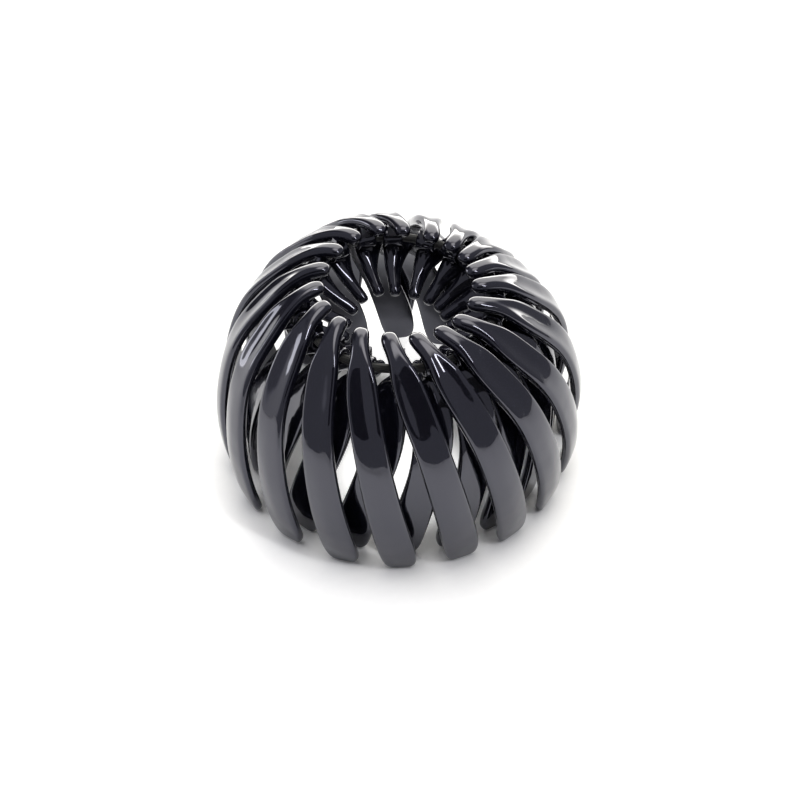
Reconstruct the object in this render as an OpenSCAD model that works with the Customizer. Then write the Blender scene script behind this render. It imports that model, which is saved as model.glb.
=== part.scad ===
// Bird nest hair clip
// A ring of claws threaded on one elastic cord, standing on the claw tips.
// Millimetres. The ring's axis is Z, the floor is Z = 0, the photographed front is -Y.

/* [Ring] */
// Angle of the first claw round the ring
first_claw_angle = 108.1; // [0:0.1:360]
// Radius of the elastic cord's centre line
cord_ring_radius = 19.3; // [15:0.1:25]
// Height of the elastic cord's centre line
cord_height = 39.7; // [30:0.1:45]
// Diameter of the elastic cord
cord_diameter = 1.8; // [1:0.1:3]

/* [Claw] */
// Diameter of the cord hole in each claw
cord_hole_diameter = 2.6; // [1.2:0.1:4]
// Outside diameter of the eye round the cord
eye_diameter = 4.4; // [3:0.1:7]
// Length of the eye along the cord
eye_length = 3.8; // [1:0.1:5]
// Turn of the eye from the knob, round the ring's axis
eye_turn = 6.6; // [0:0.1:15]
// Thickness of the web that joins the two blades through the eye
web_thickness = 2.2; // [1:0.1:4]

/* [Stance] */
// Share of each claw's own small turn, slide and twist that is used
stance_share = 1; // [0:0.05:1]
// Shift of the whole ring along X
shift_x = -0.23; // [-2:0.01:2]
// Shift of the whole ring along Y
shift_y = 0.14; // [-2:0.01:2]

/* [Hidden] */
claw_count = 19;
claw_pitch = 360 / claw_count;
cord_stations = 4;
cord_sides = 10;
plastic_colour = [0.11, 0.11, 0.13];
cord_colour = [0.05, 0.05, 0.05];

// How each claw stands away from even spacing, claw 1 first.
// Columns: turn, slide outwards, twist of the feet
claw_stands = [
    [-4.3,  0.9, -3.0], [-4.2,  0.6, -3.3], [-4.2, -0.2, -2.2], [-0.8, -0.4, -1.0],
    [ 0.6,  0.0,  0.0], [ 2.3,  0.0, -0.6], [ 3.0,  0.0,  0.0], [ 2.8,  0.0,  0.0],
    [ 4.3, -0.3,  0.0], [ 4.3,  0.1,  0.0], [ 3.6,  0.2,  0.6], [ 1.6,  0.0,  2.2],
    [ 3.4,  0.0,  0.5], [ 3.7, -0.2,  0.0], [ 1.1, -0.8,  0.0], [-1.9, -0.5, -1.0],
    [-4.8, -0.5, -1.6], [-5.0, -0.3, -1.2], [-2.3,  0.2, -3.3]];

// Columns of both tables: radius, height, turn, width, thickness, roundness, dish, roll
// Outer blade, from the round knob over the shoulder to the level foot
outer_rows = [
    [14.6, 43.9,  -1.0, 1.6, 1.4, 1.0, 0.0,  0],
    [15.2, 44.2,  -0.7, 3.0, 2.2, 1.0, 0.0,  0],
    [16.5, 44.3,   0.4, 3.6, 2.6, 1.0, 0.0,  0],
    [18.8, 43.8,   3.6, 3.5, 2.6, 0.9, 0.0,  0],
    [21.2, 42.8,   6.6, 4.0, 2.5, 0.7, 0.1,  0],
    [23.9, 41.0,   9.3, 5.9, 2.4, 0.3, 0.3,  0],
    [27.1, 37.8,  12.2, 6.4, 2.3, 0.0, 0.5,  0],
    [30.7, 33.9,  15.3, 6.5, 2.2, 0.0, 0.4,  0],
    [33.5, 29.0,  17.9, 6.6, 2.1, 0.0, 0.2,  0],
    [35.4, 22.5,  20.5, 7.0, 2.1, 0.0, 0.1,  0],
    [36.4, 15.0,  23.1, 7.3, 2.1, 0.0, 0.0,  0],
    [36.2,  8.5,  25.2, 7.5, 2.0, 0.0, 0.0,  0],
    [35.6,  4.6,  26.4, 7.3, 1.9, 0.0, 0.0,  0],
    [35.0,  2.0,  27.2, 6.5, 1.8, 0.0, 0.0,  0],
    [34.6,  0.7,  27.6, 4.9, 1.6, 0.0, 0.0,  0],
    [34.3,  0.0,  27.8, 2.7, 1.3, 0.0, 0.0,  0]];

// Inner blade, from the free tooth in the middle over its arch to the level foot
inner_rows = [
    [10.1, 31.7,   7.0, 1.2, 1.2, 1.0, 0.0,  0],
    [10.6, 32.0,   7.1, 2.3, 2.1, 1.0, 0.0,  0],
    [12.0, 32.7,   7.4, 2.6, 2.4, 1.0, 0.0,  0],
    [15.2, 34.2,   7.6, 3.0, 2.4, 1.0, 0.0,  8],
    [18.4, 36.1,   5.8, 5.3, 2.1, 0.6, 0.0, 22],
    [21.6, 37.3,   3.4, 7.4, 1.9, 0.3, 0.0, 29],
    [25.0, 35.0,   1.5, 8.0, 1.9, 0.1, 0.0, 27],
    [28.2, 29.9,   0.8, 8.1, 1.9, 0.0, 0.0, 16],
    [30.7, 23.5,  -1.9, 7.3, 1.9, 0.0, 0.0,  6],
    [31.7, 16.0,  -6.0, 7.1, 1.9, 0.0, 0.0,  0],
    [31.6,  9.0,  -9.3, 7.7, 1.9, 0.0, 0.0,  0],
    [31.1,  4.6, -10.9, 7.6, 1.8, 0.0, 0.0,  0],
    [30.8,  2.0, -11.7, 6.8, 1.7, 0.0, 0.0,  0],
    [30.6,  0.7, -12.1, 5.2, 1.5, 0.0, 0.0,  0],
    [30.5,  0.1, -12.3, 2.9, 1.3, 0.0, 0.0,  0]];

// Outline of a blade across its length: columns are across, up; halves of width and thickness
flat_outline = [[1, -0.7], [1, 0.45], [0.6, 0.95], [0, 1],
                [-0.6, 0.95], [-1, 0.45], [-1, -0.7], [0, -0.9]];
// Share of the dish's depth that each of the eight points takes
dish_share = [0, 0, 0, 1, 0, 0, 0, 0];
// Directions of the same eight points on a round rod
round_angles = [-35, 20, 58, 90, 122, 160, 215, 270];

function place(row) = [row[0] * cos(row[2]), row[0] * sin(row[2]), row[1]];

function unit(v) = v / norm(v);

// The same rows with the feet twisted round the ring, by nothing at the cord's height
function twisted(rows, twist) = [
    for (row = rows)
        [row[0], row[1], row[2] + twist * max(0, 1 - row[1] / cord_height),
         row[3], row[4], row[5], row[6], row[7]]];

// Direction of travel at station i
function travel(rows, i) =
    unit(place(rows[min(i + 1, len(rows) - 1)]) - place(rows[max(i - 1, 0)]));

// Direction out of the dome at station i, square to the travel
function outward(rows, i) =
    let (a = rows[max(i - 1, 0)], b = rows[min(i + 1, len(rows) - 1)],
         flat = [-(b[1] - a[1]), b[0] - a[0]], t = rows[i][2],
         raw = [flat[0] * cos(t), flat[0] * sin(t), flat[1]],
         along = travel(rows, i))
    unit(raw - (raw * along) * along);

// One corner of the section at station i
function corner(rows, i, k) =
    let (row = rows[i], flat_up = outward(rows, i),
         flat_across = cross(travel(rows, i), flat_up),
         up = cos(row[7]) * flat_up + sin(row[7]) * flat_across,
         across = cos(row[7]) * flat_across - sin(row[7]) * flat_up,
         q = row[5],
         u = (1 - q) * flat_outline[k][0] + q * cos(round_angles[k]),
         v = (1 - q) * flat_outline[k][1] + q * sin(round_angles[k]))
    place(row) + u * row[3] / 2 * across
        + (v * row[4] / 2 - dish_share[k] * row[6]) * up;

// The last section is carried along the travel to one level, so that the foot stands flat
function footed(rows, i, k) =
    let (p = corner(rows, i, k), t = travel(rows, i))
    i < len(rows) - 1 ? p : p + (rows[i][1] - p[2]) / t[2] * t;

function wall_faces(n, m) = [
    for (i = [0 : n - 2], k = [0 : m - 1])
        let (a = i * m + k, b = i * m + (k + 1) % m)
        each [[a, b, a + m], [b, b + m, a + m]]];

module blade(rows) {
    n = len(rows);
    m = len(flat_outline);
    polyhedron(
        points = [for (i = [0 : n - 1], k = [0 : m - 1]) footed(rows, i, k)],
        faces = concat(
            wall_faces(n, m),
            [for (k = [1 : m - 2]) [0, k + 1, k]],
            [for (k = [1 : m - 2]) [(n - 1) * m, (n - 1) * m + k, (n - 1) * m + k + 1]]));
}

// Eye for the cord and the web that ties the outer blade to the inner blade
module eye_body() {
    rotate([0, 0, eye_turn]) {
        translate([cord_ring_radius, 0, cord_height])
            rotate([90, 0, 0])
                cylinder(d = eye_diameter, h = eye_length, center = true, $fn = 12);
        translate([cord_ring_radius - 1.5, -web_thickness / 2, 35.6])
            cube([3.0, web_thickness, 8.1]);
    }
}

module cord_hole() {
    rotate([0, 0, eye_turn])
        translate([cord_ring_radius, 0, cord_height])
            rotate([90, 0, 0])
                cylinder(d = cord_hole_diameter, h = 12, center = true, $fn = 12);
}

module claw(number) {
    translate([shift_x, shift_y, 0])
        rotate([0, 0, first_claw_angle + (number - 1) * claw_pitch
                      + stance_share * claw_stands[number - 1][0]])
            translate([stance_share * claw_stands[number - 1][1], 0, 0])
            difference() {
                union() {
                    blade(twisted(outer_rows, stance_share * claw_stands[number - 1][2]));
                    blade(twisted(inner_rows, stance_share * claw_stands[number - 1][2]));
                    eye_body();
                }
                cord_hole();
            }
}

module claw_01() { color(plastic_colour) claw(1); }
module claw_02() { color(plastic_colour) claw(2); }
module claw_03() { color(plastic_colour) claw(3); }
module claw_04() { color(plastic_colour) claw(4); }
module claw_05() { color(plastic_colour) claw(5); }
module claw_06() { color(plastic_colour) claw(6); }
module claw_07() { color(plastic_colour) claw(7); }
module claw_08() { color(plastic_colour) claw(8); }
module claw_09() { color(plastic_colour) claw(9); }
module claw_10() { color(plastic_colour) claw(10); }
module claw_11() { color(plastic_colour) claw(11); }
module claw_12() { color(plastic_colour) claw(12); }
module claw_13() { color(plastic_colour) claw(13); }
module claw_14() { color(plastic_colour) claw(14); }
module claw_15() { color(plastic_colour) claw(15); }
module claw_16() { color(plastic_colour) claw(16); }
module claw_17() { color(plastic_colour) claw(17); }
module claw_18() { color(plastic_colour) claw(18); }
module claw_19() { color(plastic_colour) claw(19); }

// Direction and radius at which the cord passes through claw i
function eye_angle(i) = first_claw_angle + i * claw_pitch + eye_turn
    + stance_share * claw_stands[i % claw_count][0];
function eye_radius(i) = cord_ring_radius
    + stance_share * claw_stands[i % claw_count][1] * cos(eye_turn);

// Ring of points round the cord at one of the four stations from claw i to the next
function cord_ring(i, station) =
    let (t = station / cord_stations, w = (1 - cos(180 * t)) / 2,
         angle = (1 - t) * eye_angle(i) + t * eye_angle(i + 1),
         radius = (1 - w) * eye_radius(i) + w * eye_radius(i + 1))
    [for (k = [0 : cord_sides - 1])
        let (side = 360 * k / cord_sides, r = radius + cord_diameter / 2 * cos(side))
        [r * cos(angle), r * sin(angle), cord_height + cord_diameter / 2 * sin(side)]];

// Endless elastic cord through all the eyes
module elastic_cord() {
    rings = [for (i = [0 : claw_count - 1], station = [0 : cord_stations - 1])
                cord_ring(i, station)];
    n = len(rings);
    color(cord_colour)
        translate([shift_x, shift_y, 0])
            polyhedron(
                points = [for (ring = rings) each ring],
                faces = [for (i = [0 : n - 1], k = [0 : cord_sides - 1])
                    let (a = i * cord_sides + k, b = i * cord_sides + (k + 1) % cord_sides,
                         c = (i + 1) % n * cord_sides + k,
                         d = (i + 1) % n * cord_sides + (k + 1) % cord_sides)
                    each [[a, b, c], [b, d, c]]]);
}

claw_01();
claw_02();
claw_03();
claw_04();
claw_05();
claw_06();
claw_07();
claw_08();
claw_09();
claw_10();
claw_11();
claw_12();
claw_13();
claw_14();
claw_15();
claw_16();
claw_17();
claw_18();
claw_19();
elastic_cord();
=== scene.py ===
import bpy
import bmesh
import math
from mathutils import Matrix, Vector


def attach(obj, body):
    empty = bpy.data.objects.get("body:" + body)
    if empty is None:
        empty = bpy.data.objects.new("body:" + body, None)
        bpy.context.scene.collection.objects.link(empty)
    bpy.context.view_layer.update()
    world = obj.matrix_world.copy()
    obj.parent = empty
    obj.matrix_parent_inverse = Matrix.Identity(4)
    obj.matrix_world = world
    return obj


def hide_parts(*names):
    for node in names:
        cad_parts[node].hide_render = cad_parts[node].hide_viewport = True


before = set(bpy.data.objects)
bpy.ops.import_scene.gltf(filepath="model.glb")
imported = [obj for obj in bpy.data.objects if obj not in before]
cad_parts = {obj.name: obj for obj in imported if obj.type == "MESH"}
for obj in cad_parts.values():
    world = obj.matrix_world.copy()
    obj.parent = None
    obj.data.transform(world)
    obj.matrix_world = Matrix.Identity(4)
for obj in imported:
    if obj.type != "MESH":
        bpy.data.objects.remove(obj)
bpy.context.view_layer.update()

# The claws are nineteen copies of one injection moulding in glossy black ABS. Its outer and
# inner blades cross in a short web, which has an eye for the elastic. The claws are threaded
# side by side, and the pull of the elastic leaves each one turned a little its own way.

MM = 0.001

# Sections along each blade, in millimetres and degrees. The radius and height are those of the
# middle, and the turn is round the ring. The edge is the rounding of the long edges, and the
# crown is the rise of the middle, or a dish where it is negative.
RADIUS, HEIGHT, TURN, WIDTH, THICKNESS, EDGE, CROWN, ROLL = range(8)
outer_blade = [
    (14.6, 43.9,  -1.0, 1.6, 1.4, 0.50,  0.00,  0),
    (15.2, 44.2,  -0.7, 3.0, 2.2, 0.85,  0.05,  0),
    (16.5, 44.3,   0.4, 3.6, 2.6, 1.05,  0.08,  0),
    (18.8, 43.8,   3.6, 3.5, 2.6, 1.05,  0.08,  0),
    (21.2, 42.8,   6.6, 4.0, 2.5, 1.00, -0.10,  0),
    (23.9, 41.0,   9.3, 5.9, 2.4, 0.85, -0.30,  0),
    (27.1, 37.8,  12.2, 6.4, 2.3, 0.80, -0.50,  0),
    (30.7, 33.9,  15.3, 6.5, 2.2, 0.80, -0.35,  0),
    (33.5, 29.0,  17.9, 6.6, 2.1, 0.85,  0.15,  0),
    (35.4, 22.5,  20.5, 7.0, 2.1, 0.90,  0.40,  0),
    (36.4, 15.0,  23.1, 7.3, 2.1, 0.95,  0.50,  0),
    (36.2,  8.5,  25.2, 7.5, 2.0, 0.90,  0.45,  0),
    (35.6,  4.6,  26.4, 7.3, 1.9, 0.75,  0.30,  0),
    (35.0,  2.0,  27.2, 6.5, 1.8, 0.60,  0.00,  0),
    (34.6,  0.7,  27.6, 4.9, 1.6, 0.55,  0.00,  0),
    (34.3,  0.25, 27.8, 2.7, 1.3, 0.45,  0.00,  0)]
inner_blade = [
    (10.1, 31.7,   7.0, 1.2, 1.2, 0.45,  0.00,  0),
    (10.6, 32.0,   7.1, 2.3, 2.1, 0.85,  0.05,  0),
    (12.0, 32.7,   7.4, 2.6, 2.4, 1.00,  0.05,  0),
    (15.2, 34.2,   7.6, 3.0, 2.4, 1.20,  0.15,  8),
    (18.4, 36.1,   5.8, 5.3, 2.1, 1.05,  0.45, 22),
    (21.6, 37.3,   3.4, 7.4, 1.9, 0.95,  0.30, 29),
    (25.0, 35.0,   1.5, 8.0, 1.9, 0.65,  0.00, 27),
    (28.2, 29.9,   0.8, 8.1, 1.9, 0.60,  0.00, 16),
    (30.7, 23.5,  -1.9, 7.3, 1.9, 0.60,  0.00,  6),
    (31.7, 16.0,  -6.0, 7.1, 1.9, 0.60,  0.00,  0),
    (31.6,  9.0,  -9.3, 7.7, 1.9, 0.60,  0.00,  0),
    (31.1,  4.6, -10.9, 7.6, 1.8, 0.60,  0.00,  0),
    (30.8,  2.0, -11.7, 6.8, 1.7, 0.55,  0.00,  0),
    (30.6,  0.7, -12.1, 5.2, 1.5, 0.50,  0.00,  0),
    (30.5,  0.1, -12.3, 2.9, 1.3, 0.45,  0.00,  0)]

# The elastic lies on a ring, and the web and the eye are pierced for it. The eye stands a little
# round the ring, by its turn, and its own hole is what the three steps of its wall leave.
cord_ring = 19.3
cord_height = 39.7
cord_hole_diameter = 2.6
drill_length = 6.0
eye_turn = 6.6
eye_diameter = 4.4
eye_length = 3.8
eye_wall_steps = (0.3, 0.4, 0.3)
eye_rim_rounding = 0.25
web_size = (3.0, 2.2, 8.1)
web_middle_height = 39.65

# How each claw stands, claw 1 first. Columns: turn off even spacing, slide outwards, and twist
# of the feet, which the thin legs give
claw_stands = [
    (-4.3,  0.9, -3.0), (-4.2,  0.6, -3.3), (-4.2, -0.2, -2.2), (-0.8, -0.4, -1.0),
    ( 0.6,  0.0,  0.0), ( 2.3,  0.0, -0.6), ( 3.0,  0.0,  0.0), ( 2.8,  0.0,  0.0),
    ( 4.3, -0.3,  0.0), ( 4.3,  0.1,  0.0), ( 3.6,  0.2,  0.6), ( 1.6,  0.0,  2.2),
    ( 3.4,  0.0,  0.5), ( 3.7, -0.2,  0.0), ( 1.1, -0.8,  0.0), (-1.9, -0.5, -1.0),
    (-4.8, -0.5, -1.6), (-5.0, -0.3, -1.2), (-2.3,  0.2, -3.3)]
claw_count = len(claw_stands)
first_claw = 108.1
claw_height = 45.7
ring_shift = Vector((-0.23, 0.14, 0.0))


def deselect():
    for thing in bpy.context.selected_objects:
        thing.select_set(False)


def choose(numbers):
    """Selects these vertices of the mesh in edit mode, and no others."""
    mesh = bmesh.from_edit_mesh(bpy.context.edit_object.data)
    numbers = set(numbers)
    for v in mesh.verts:
        v.select = v.index in numbers
    mesh.select_flush_mode()
    bmesh.update_edit_mesh(bpy.context.edit_object.data)


def settle():
    """Puts the place, turn and scale of what is selected into its mesh."""
    bpy.ops.object.transform_apply(location=True, rotation=True, scale=True)


def join(first, *others):
    """Joins the other pieces to the first one."""
    deselect()
    for part in (first, *others):
        part.select_set(True)
    bpy.context.view_layer.objects.active = first
    bpy.ops.object.join()


def middle_of(section):
    radius, height, turn = section[RADIUS], section[HEIGHT], math.radians(section[TURN])
    return Vector((radius * math.cos(turn), radius * math.sin(turn), height))


def axes_of(rows, i):
    """Across, out and along at section i, as the columns of a matrix."""
    before, after = rows[max(i - 1, 0)], rows[min(i + 1, len(rows) - 1)]
    along = (middle_of(after) - middle_of(before)).normalized()
    turn, roll = math.radians(rows[i][TURN]), math.radians(rows[i][ROLL])
    drop, run = before[HEIGHT] - after[HEIGHT], after[RADIUS] - before[RADIUS]
    out = Vector((drop * math.cos(turn), drop * math.sin(turn), run))
    out = (out - out.dot(along) * along).normalized()
    across = along.cross(out)
    rolled_out = math.cos(roll) * out + math.sin(roll) * across
    rolled_across = math.cos(roll) * across - math.sin(roll) * out
    return Matrix((-rolled_across, rolled_out, along)).transposed()


# The blank of a blade is a round bar of 1 mm radius, which stands well above the claw. Its
# corners lie alike in each quarter, and are named by their angle up from the side. The crown
# lifts the middle fully and the flat beside it in part.
blank_corners = 18
blank_foot = 1.0
blank_step = 0.01
corner_angles = {"middle": 90, "flat": 70, "shoulder": 50, "edge": 30, "side": 10}
crown_shares = {"middle": 1.0, "flat": 0.65}
round_corner = 0.29     # how far in from its square corner a rounding of 1 mm lies at 45 degrees


def draw_blade(rows, name):
    """Draws a blade out of its blank, section by section, then bends it to its path."""
    deselect()
    bpy.ops.mesh.primitive_circle_add(vertices=blank_corners, radius=MM, fill_type="NGON",
                                      location=(0, 0, blank_foot))
    blade = bpy.context.object
    blade.name = name
    settle()
    bpy.ops.object.mode_set(mode="EDIT")
    bpy.ops.mesh.select_all(action="SELECT")
    for _ in rows[1:]:
        bpy.ops.mesh.extrude_region_move(TRANSFORM_OT_translate={"value": (0, 0, blank_step)})
    bpy.ops.mesh.select_all(action="DESELECT")

    # each corner's vertices in each section, and whether they are on the outer face
    rings = [{} for _ in rows]
    for v in bmesh.from_edit_mesh(blade.data).verts:
        i = round((v.co.z - blank_foot) / blank_step)
        angle = math.degrees(math.asin(min(1, abs(v.co.y) / MM)))
        corner = min(corner_angles, key=lambda c: abs(corner_angles[c] - angle))
        rings[i].setdefault(corner, []).append((v.index, v.co.y > 0))

    for i, (row, ring) in enumerate(zip(rows, rings)):
        half_width, half_thickness, edge = row[WIDTH] / 2, row[THICKNESS] / 2, row[EDGE]
        cut = round_corner * edge
        heart = Vector((0, 0, blank_foot + i * blank_step))
        shape = {"middle": (0, half_thickness),
                 "flat": ((half_width - edge) / 2, half_thickness),
                 "shoulder": (half_width - edge, half_thickness),
                 "edge": (half_width - cut, half_thickness - cut),
                 "side": (half_width, half_thickness - edge)}
        for corner, angle in corner_angles.items():
            x, y = shape[corner]
            a = math.radians(angle)
            widen = x / math.cos(a) if corner != "middle" else 1
            choose(n for n, outside in ring[corner])
            bpy.ops.transform.resize(value=(widen, y / math.sin(a), 1), center_override=heart)
        for corner, share in crown_shares.items():
            choose(n for n, outside in ring[corner] if outside)
            bpy.ops.transform.translate(value=(0, row[CROWN] * share * MM, 0))

        # smoothing pulls a bend in by a sixth of its second difference, so it is given back
        middle = middle_of(row)
        if 0 < i < len(rows) - 1:
            bend = middle_of(rows[i - 1]) - 2 * middle + middle_of(rows[i + 1])
            middle = middle - bend / 6
        # with no window a turn goes the other way round, so the angles are negative
        choose(n for corner in ring.values() for n, outside in corner)
        for axis, angle in zip("XYZ", axes_of(rows, i).to_euler("XYZ")):
            bpy.ops.transform.rotate(value=-angle, orient_axis=axis, orient_type="GLOBAL",
                                     center_override=heart)
        bpy.ops.transform.translate(value=middle * MM - heart)

    bpy.ops.mesh.select_all(action="SELECT")
    bpy.ops.mesh.normals_make_consistent(inside=False)
    bpy.ops.object.mode_set(mode="OBJECT")
    smooth = blade.modifiers.new("smooth", "SUBSURF")
    smooth.levels = smooth.render_levels = 2
    bpy.ops.object.modifier_apply(modifier="smooth")
    bpy.ops.object.shade_smooth()
    return blade


def make_eye():
    """The round eye of the claw, pierced for the elastic."""
    deselect()
    bpy.ops.mesh.primitive_cylinder_add(vertices=20, radius=eye_diameter / 2 * MM,
                                        depth=eye_length * MM, location=(0, 0, 0),
                                        rotation=(math.pi / 2, 0, 0))
    eye = bpy.context.object
    settle()
    bpy.ops.object.mode_set(mode="EDIT")
    mesh = bmesh.from_edit_mesh(eye.data)
    for face in mesh.faces:
        face.select = abs(face.normal.y) > 0.9
    bmesh.update_edit_mesh(eye.data)
    for step in eye_wall_steps:
        bpy.ops.mesh.inset(thickness=step * MM, depth=0)
    bpy.ops.mesh.bridge_edge_loops()
    bpy.ops.object.mode_set(mode="OBJECT")
    rim = eye.modifiers.new("rim", "BEVEL")
    rim.width = eye_rim_rounding * MM
    rim.segments = 2
    rim.limit_method = "ANGLE"
    bpy.ops.object.modifier_apply(modifier="rim")
    smooth = eye.modifiers.new("smooth", "SUBSURF")
    smooth.levels = smooth.render_levels = 1
    bpy.ops.object.modifier_apply(modifier="smooth")
    bpy.ops.object.shade_smooth()
    eye.location = (cord_ring * MM, 0, cord_height * MM)
    settle()
    return eye


def make_web():
    """The short web between the blades, a plain block that is bored for the elastic."""
    deselect()
    bpy.ops.mesh.primitive_cube_add(size=1, location=(cord_ring * MM, 0, web_middle_height * MM),
                                    scale=[side * MM for side in web_size])
    web = bpy.context.object
    settle()
    bpy.ops.mesh.primitive_cylinder_add(vertices=40, radius=cord_hole_diameter / 2 * MM,
                                        depth=drill_length * MM,
                                        location=(cord_ring * MM, 0, cord_height * MM),
                                        rotation=(math.pi / 2, 0, 0))
    drill = bpy.context.object
    deselect()
    web.select_set(True)
    bpy.context.view_layer.objects.active = web
    bore = web.modifiers.new("bore", "BOOLEAN")
    bore.operation, bore.object = "DIFFERENCE", drill
    bpy.ops.object.modifier_apply(modifier="bore")
    bpy.data.objects.remove(drill, do_unlink=True)
    bpy.ops.object.shade_smooth_by_angle(angle=math.radians(40))
    return web


pattern_claw = draw_blade(outer_blade, "outer_blade")
inner = draw_blade(inner_blade, "inner_blade")
eye = make_eye()
join(eye, make_web())
eye.rotation_euler = (0, 0, math.radians(eye_turn))
settle()
join(pattern_claw, inner, eye)
pattern_claw.name = "claw_pattern"
# the feet are flat where they stand
bpy.ops.object.mode_set(mode="EDIT")
choose(v.index for v in pattern_claw.data.vertices if v.co.z < 0)
bpy.ops.transform.resize(value=(1, 1, 0), center_override=(0, 0, 0))
bpy.ops.object.mode_set(mode="OBJECT")


def linear(hex_colour):
    """An sRGB hex colour as linear red, green, blue and full alpha."""
    shares = [int(hex_colour[i:i + 2], 16) / 255 for i in (1, 3, 5)]
    return [c / 12.92 if c <= 0.04045 else ((c + 0.055) / 1.055) ** 2.4 for c in shares] + [1.0]


def add(material, kind, settings=None, **inputs):
    """Adds a node, sets its own values, and links or sets inputs by name, or by number as _0.

    The two colours of a mix node are its inputs 6 and 7.
    """
    node = material.node_tree.nodes.new(kind)
    for name, value in (settings or {}).items():
        if name in node.inputs:
            node.inputs[name].default_value = value
        else:
            setattr(node, name, value)
    for name, source in inputs.items():
        number = name[1:]
        socket = node.inputs[int(number) if number.isdigit() else name.replace("_", " ")]
        if isinstance(source, bpy.types.NodeSocket):
            material.node_tree.links.new(source, socket)
        else:
            socket.default_value = source
    return node


# Black ABS from a polished mould gives a hard clear reflection. Its usual index of 1.54 is
# raised, and the reflection tinted a little blue, to match how the real blades mirror the paper.
abs_black = bpy.data.materials.new("moulded_black_abs")
abs_black.use_nodes = True
finish = abs_black.node_tree.nodes["Principled BSDF"]
finish.inputs["IOR"].default_value = 1.75
finish.inputs["Specular Tint"].default_value = (0.84, 0.85, 1.0, 1.0)
place = add(abs_black, "ShaderNodeTexCoord").outputs["Object"]

# rubs from wear, about 1.1 mm wide and drawn out upwards, dull the gloss here and there
drawn_out = add(abs_black, "ShaderNodeMapping", {"Scale": (1.0, 1.0, 0.12)}, Vector=place)
rubs = add(abs_black, "ShaderNodeTexNoise", {"Scale": 1 / 0.0011, "Detail": 2.0},
           Vector=drawn_out.outputs["Vector"])
worn = add(abs_black, "ShaderNodeMapRange", {"From Min": 0.56, "From Max": 0.75,
           "To Min": 0.055, "To Max": 0.17}, Value=rubs.outputs["Fac"])

# the black is a little uneven, in patches of about 16 mm
tint = add(abs_black, "ShaderNodeTexNoise", {"Scale": 1 / 0.016, "Detail": 2.0}, Vector=place)
shade = add(abs_black, "ShaderNodeMix", {"data_type": "RGBA"}, Factor=tint.outputs["Fac"],
            _6=linear("#08080f"), _7=linear("#0d0d15"))

# Shrinkage leaves waves 7 mm long and shallower ripples 2.6 mm long. The real grain is finer
# than a picture can show, so it is drawn coarser, at 0.6 mm.
waves = add(abs_black, "ShaderNodeTexNoise", {"Scale": 1 / 0.007, "Detail": 1.0,
            "Roughness": 0.4}, Vector=place)
ripples = add(abs_black, "ShaderNodeTexNoise", {"Scale": 1 / 0.0026, "Detail": 1.0},
              Vector=place)
grain = add(abs_black, "ShaderNodeTexNoise", {"Scale": 1 / 0.0006, "Detail": 3.0}, Vector=place)
sink = add(abs_black, "ShaderNodeBump", {"Strength": 1.0, "Distance": 0.0002},
           Height=waves.outputs["Fac"])
rippled = add(abs_black, "ShaderNodeBump", {"Strength": 1.0, "Distance": 0.000022},
              Height=ripples.outputs["Fac"], Normal=sink.outputs["Normal"])
fine = add(abs_black, "ShaderNodeBump", {"Strength": 1.0, "Distance": 0.0000008},
           Height=grain.outputs["Fac"], Normal=rippled.outputs["Normal"])
for source, name in ((worn.outputs[0], "Roughness"), (shade.outputs[2], "Base Color"),
                     (fine.outputs["Normal"], "Normal")):
    abs_black.node_tree.links.new(source, finish.inputs[name])

for number, (turn, slide, twist) in enumerate(claw_stands, 1):
    deselect()
    pattern_claw.select_set(True)
    bpy.context.view_layer.objects.active = pattern_claw
    bpy.ops.object.duplicate()
    claw = bpy.context.object
    claw.name = "claw_%02d_moulded" % number
    # the twist grows from none at the cord down to its whole amount at the feet
    give = claw.modifiers.new("give", "SIMPLE_DEFORM")
    give.deform_method, give.deform_axis = "TWIST", "Z"
    give.angle = math.radians(-twist)
    give.limits = (0, cord_height / claw_height)
    bpy.ops.object.modifier_apply(modifier="give")
    claw.rotation_euler = (0, 0, math.radians(twist))
    settle()
    angle = math.radians(first_claw + (number - 1) * 360 / claw_count + turn)
    slid = Vector((slide * math.cos(angle), slide * math.sin(angle), 0))
    claw.rotation_euler = (0, 0, angle)
    claw.location = (slid + ring_shift) * MM
    settle()
    claw.data.materials.clear()
    claw.data.materials.append(abs_black)
    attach(claw, "root")
    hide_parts("claw_%02d" % number)
bpy.data.objects.remove(pattern_claw, do_unlink=True)

# The elastic cord is one endless round elastic, with a woven polyester sheath over rubber
# strands. It passes through the eyes of all the claws, and its small bends follow where each
# eye stands.

cord_diameter = 1.8
stations = 4            # points of the cord from one eye to the next
cord_points = []
for number in range(claw_count):
    here, after = claw_stands[number], claw_stands[(number + 1) % claw_count]
    angles = [first_claw + (number + k) * 360 / claw_count + eye_turn + stand[0]
              for k, stand in enumerate((here, after))]
    radii = [cord_ring + stand[1] * math.cos(math.radians(eye_turn)) for stand in (here, after)]
    for station in range(stations):
        share = station / stations
        eased = (1 - math.cos(math.pi * share)) / 2
        angle = math.radians((1 - share) * angles[0] + share * angles[1])
        radius = (1 - eased) * radii[0] + eased * radii[1]
        cord_points.append(ring_shift + Vector((radius * math.cos(angle),
                                                radius * math.sin(angle), cord_height)))
cord_line = bpy.data.curves.new("elastic", "CURVE")
cord_line.dimensions = "3D"
strand = cord_line.splines.new("POLY")
strand.points.add(len(cord_points) - 1)
for point, spot in zip(strand.points, cord_points):
    point.co = (*(spot * MM), 1)
strand.use_cyclic_u = True
cord_line.bevel_depth = cord_diameter / 2 * MM
cord_line.bevel_resolution = 6
elastic = bpy.data.objects.new("elastic_cord_woven", cord_line)
bpy.context.collection.objects.link(elastic)
deselect()
elastic.select_set(True)
bpy.context.view_layer.objects.active = elastic
bpy.ops.object.convert(target="MESH")
elastic = bpy.context.object
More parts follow.
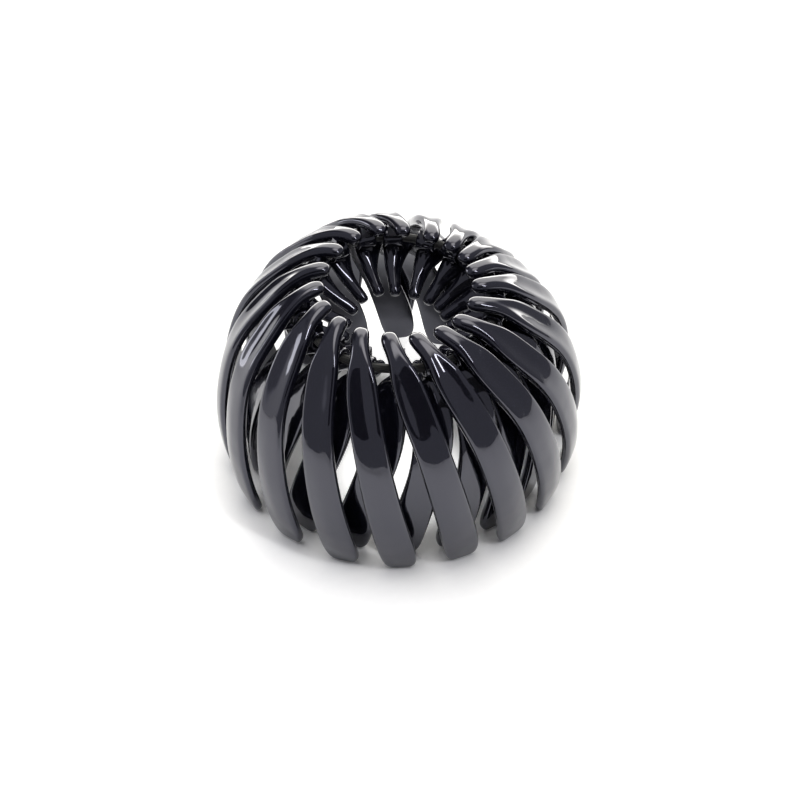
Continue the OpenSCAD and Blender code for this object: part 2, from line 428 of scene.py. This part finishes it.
bpy.ops.object.shade_smooth()

# A woven polyester sheath is a dull black with a diamond weave. The weave repeats 300 times
# along the cord, every 0.4 mm, and 6 times round it, every 0.9 mm.
repeats_along, repeats_round = 300, 6
sheath = bpy.data.materials.new("woven_polyester_sheath")
sheath.use_nodes = True
weave = sheath.node_tree.nodes["Principled BSDF"]
weave.inputs["Roughness"].default_value = 0.7
weave.inputs["Sheen Weight"].default_value = 0.3
around = add(sheath, "ShaderNodeTexCoord").outputs["Object"]
centred = add(sheath, "ShaderNodeVectorMath", {"operation": "SUBTRACT"}, _0=around,
              _1=ring_shift * MM + Vector((0, 0, cord_height * MM)))
sides = add(sheath, "ShaderNodeSeparateXYZ", _0=centred.outputs[0])
flat = add(sheath, "ShaderNodeCombineXYZ", X=sides.outputs["X"], Y=sides.outputs["Y"])
reach = add(sheath, "ShaderNodeVectorMath", {"operation": "LENGTH"}, _0=flat.outputs[0])
off_ring = add(sheath, "ShaderNodeMath", {"operation": "SUBTRACT"}, _0=reach.outputs["Value"],
               _1=cord_ring * MM)
ring_angle = add(sheath, "ShaderNodeMath", {"operation": "ARCTAN2"}, _0=sides.outputs["Y"],
                 _1=sides.outputs["X"])
tube_angle = add(sheath, "ShaderNodeMath", {"operation": "ARCTAN2"}, _0=sides.outputs["Z"],
                 _1=off_ring.outputs[0])
along = add(sheath, "ShaderNodeMath", {"operation": "MULTIPLY"}, _0=ring_angle.outputs[0],
            _1=repeats_along)
waves_each_way = []
for slant in (repeats_round, -repeats_round):
    phase = add(sheath, "ShaderNodeMath", {"operation": "MULTIPLY_ADD"},
                _0=tube_angle.outputs[0], _1=slant, _2=along.outputs[0])
    waves_each_way.append(add(sheath, "ShaderNodeMath", {"operation": "SINE"},
                              _0=phase.outputs[0]).outputs[0])
plait = add(sheath, "ShaderNodeMath", {"operation": "MULTIPLY"}, _0=waves_each_way[0],
            _1=waves_each_way[1])
level = add(sheath, "ShaderNodeMapRange", {"From Min": -1.0, "From Max": 1.0},
            Value=plait.outputs[0])
thread = add(sheath, "ShaderNodeMix", {"data_type": "RGBA"}, Factor=level.outputs[0],
             _6=linear("#060606"), _7=linear("#1c1c1e"))
ridges = add(sheath, "ShaderNodeBump", {"Strength": 1.0, "Distance": 0.00012},
             Height=level.outputs[0])
sheath.node_tree.links.new(thread.outputs[2], weave.inputs["Base Color"])
sheath.node_tree.links.new(ridges.outputs["Normal"], weave.inputs["Normal"])
elastic.data.materials.clear()
elastic.data.materials.append(sheath)
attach(elastic, "root")
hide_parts("elastic_cord")

# The floor is a sheet of white paper, which isn't part of the object. Its material also glows
# in two small patches inside the clip, in front and behind, because the photo is clear white
# there and lamps alone leave it grey.

deselect()
bpy.ops.mesh.primitive_plane_add(size=4, location=(0, 0, 0))
floor = bpy.context.object
floor.name = "paper_floor"

# White paper is matt, with a faint mottle. Its fibres are finer, and are drawn at 1.5 mm.
paper = bpy.data.materials.new("white_paper_sweep")
paper.use_nodes = True
matt = paper.node_tree.nodes["Principled BSDF"]
matt.inputs["Roughness"].default_value = 0.9
matt.inputs["Specular IOR Level"].default_value = 0.1
spread = add(paper, "ShaderNodeTexCoord").outputs["Object"]
fibre = add(paper, "ShaderNodeTexNoise", {"Scale": 1 / 0.0015, "Detail": 4.0}, Vector=spread)
pulp = add(paper, "ShaderNodeMix", {"data_type": "RGBA"}, Factor=fibre.outputs["Fac"],
           _6=linear("#f3f3f4"), _7=linear("#f7f7f8"))
paper.node_tree.links.new(pulp.outputs[2], matt.inputs["Base Color"])
# the patches, in metres. Columns: heart, radius where it glows fully, radius where it ends
glowing_patches = [((0, -0.010, 0), 0.009, 0.018), ((0.001, 0.031, 0), 0.008, 0.015)]
glow = 0.0
for heart, full, end in glowing_patches:
    off_heart = add(paper, "ShaderNodeVectorMath", {"operation": "DISTANCE"}, _0=spread,
                    _1=heart)
    patch = add(paper, "ShaderNodeMapRange", {"interpolation_type": "SMOOTHSTEP",
                "From Min": end, "From Max": full, "To Max": 0.8},
                Value=off_heart.outputs["Value"])
    glow = add(paper, "ShaderNodeMath", {"operation": "ADD"}, _0=glow,
               _1=patch.outputs[0]).outputs[0]
matt.inputs["Emission Color"].default_value = (1, 1, 1, 1)
paper.node_tree.links.new(glow, matt.inputs["Emission Strength"])
floor.data.materials.append(paper)

# The room is a dim pale tent with soft-edged bright windows in it, which the plastic mirrors.
# Azimuths go round from the right, with 90 behind the clip and 180 at its left.

sky = bpy.data.worlds.new("studio")
bpy.context.scene.world = sky
sky.use_nodes = True
direction = add(sky, "ShaderNodeTexCoord").outputs["Generated"]
split = add(sky, "ShaderNodeSeparateXYZ", _0=direction)
azimuth = add(sky, "ShaderNodeMath", {"operation": "ARCTAN2"}, _0=split.outputs["Y"],
              _1=split.outputs["X"]).outputs[0]
elevation = add(sky, "ShaderNodeMath", {"operation": "ARCSINE"}, _0=split.outputs["Z"]).outputs[0]

# Columns: left and right azimuth, low and high elevation, softness of the edges, all in
# degrees, and brightness, which darkens the tent where it is negative
tent_brightness = 0.38
windows = [
    (50, 118, -9, 58, 8, 2.8),          # a tall one behind
    (40, 124, -14, 12, 8, 6.5),         # a low one behind
    (128, 149, -20, 45, 5, -0.3),       # a dark curtain at the left behind
    (156, 190, -9, 18, 5, 0.6),         # a pale wall at the left, up to where azimuths
    (-190, -166, -9, 18, 5, 0.6)]       # start again, and on from there
skylight_heart = (0.12, 0.17, 0.978)
skylight_full, skylight_end = math.radians(8), math.radians(22)
skylight_brightness = 3.2


def window(left, right, low, high, soft, brightness):
    """The light of one window, which fades at its four edges."""
    light = brightness
    for angle, edge, inward in ((azimuth, left, soft), (azimuth, right, -soft),
                                (elevation, low, soft), (elevation, high, -soft)):
        inside = add(sky, "ShaderNodeMapRange", {
            "interpolation_type": "SMOOTHSTEP", "From Min": math.radians(edge - inward),
            "From Max": math.radians(edge + inward)}, Value=angle).outputs[0]
        light = add(sky, "ShaderNodeMath", {"operation": "MULTIPLY"}, _0=light,
                    _1=inside).outputs[0]
    return light


nearness = add(sky, "ShaderNodeVectorMath", {"operation": "DOT_PRODUCT"}, _0=direction,
               _1=skylight_heart).outputs["Value"]
skylight = add(sky, "ShaderNodeMapRange", {
    "interpolation_type": "SMOOTHSTEP", "From Min": math.cos(skylight_end),
    "From Max": math.cos(skylight_full), "To Max": skylight_brightness},
    Value=nearness).outputs[0]
total = tent_brightness
for light in [skylight] + [window(*row) for row in windows]:
    total = add(sky, "ShaderNodeMath", {"operation": "ADD"}, _0=total, _1=light).outputs[0]
# the tent is a cool white, and the windows a warmer one
warmth = add(sky, "ShaderNodeMapRange", {"From Min": 0.6, "From Max": 1.6}, Value=total).outputs[0]
white = add(sky, "ShaderNodeMix", {"data_type": "RGBA"}, Factor=warmth,
            _6=linear("#f8f8ff"), _7=linear("#fffcf2"))
background = sky.node_tree.nodes["Background"]
sky.node_tree.links.new(white.outputs[2], background.inputs["Color"])
sky.node_tree.links.new(total, background.inputs["Strength"])

# The lamps are soft white panels, each turned to face the point it is aimed at: a narrow key
# high at the front right, a strip low at the left behind, and a wide fill overhead.


def panel(name, place, aim, size, watts):
    light = bpy.data.lights.new(name, "AREA")
    light.shape = "RECTANGLE"
    light.size, light.size_y = size
    light.energy = watts
    lamp = bpy.data.objects.new(name, light)
    bpy.context.collection.objects.link(lamp)
    lamp.location = place
    lamp.rotation_euler = (Vector(aim) - Vector(place)).to_track_quat("-Z", "Y").to_euler()
    return lamp


panel("front_right_key", (0.41, -0.287, 0.866), (0, 0, 0.03), (0.08, 0.42), 2.5)
panel("left_strip", (-0.72, 0.26, 0.18), (0, 0, 0.15), (0.13, 0.42), 0.75)
# the fill whitens the paper, and is kept out of the gloss
fill = panel("paper_fill", (-0.17, 0.16, 0.75), (0, 0, 0), (0.95, 0.95), 5.4)
fill.visible_glossy = False

# A card of black felt hangs behind the camera and faces the clip. The front shoulders mirror it
# in place of the pale tent, and stay dark.

card_place, card_aim = Vector((0, -0.345, 0.355)), Vector((0, 0, 0.02))
deselect()
bpy.ops.mesh.primitive_plane_add(size=1, location=card_place)
lens_card = bpy.context.object
lens_card.name = "lens_card"
lens_card.rotation_euler = (card_aim - card_place).to_track_quat("Z", "Y").to_euler()
lens_card.scale = (0.42, 0.3, 1)
# Black felt is matt, and almost all the light that falls on it stays in it.
felt = bpy.data.materials.new("black_felt")
felt.use_nodes = True
pile = felt.node_tree.nodes["Principled BSDF"]
pile.inputs["Base Color"].default_value = linear("#101010")
pile.inputs["Roughness"].default_value = 0.95
lens_card.data.materials.append(felt)

# The camera looks from in front and above through a long lens, as the photograph's does. It
# aims at the middle of the ring of claws, 22 mm above the paper.

aim_x, aim_y, aim_z = -0.00023, 0.00014, 0.022
look_down, distance = math.radians(44.44), 0.41946
lens = bpy.data.cameras.new("camera")
lens.sensor_width = 36
lens.lens = 92.58
lens.shift_x = 0.002075
lens.shift_y = -0.043525
lens.clip_start = 0.01
camera = bpy.data.objects.new("camera", lens)
bpy.context.collection.objects.link(camera)
camera.location = (aim_x, aim_y - distance * math.cos(look_down),
                   aim_z + distance * math.sin(look_down))
camera.rotation_euler = (math.pi / 2 - look_down, 0, 0)
bpy.context.scene.camera = camera
bpy.context.scene.view_settings.view_transform = "Standard"
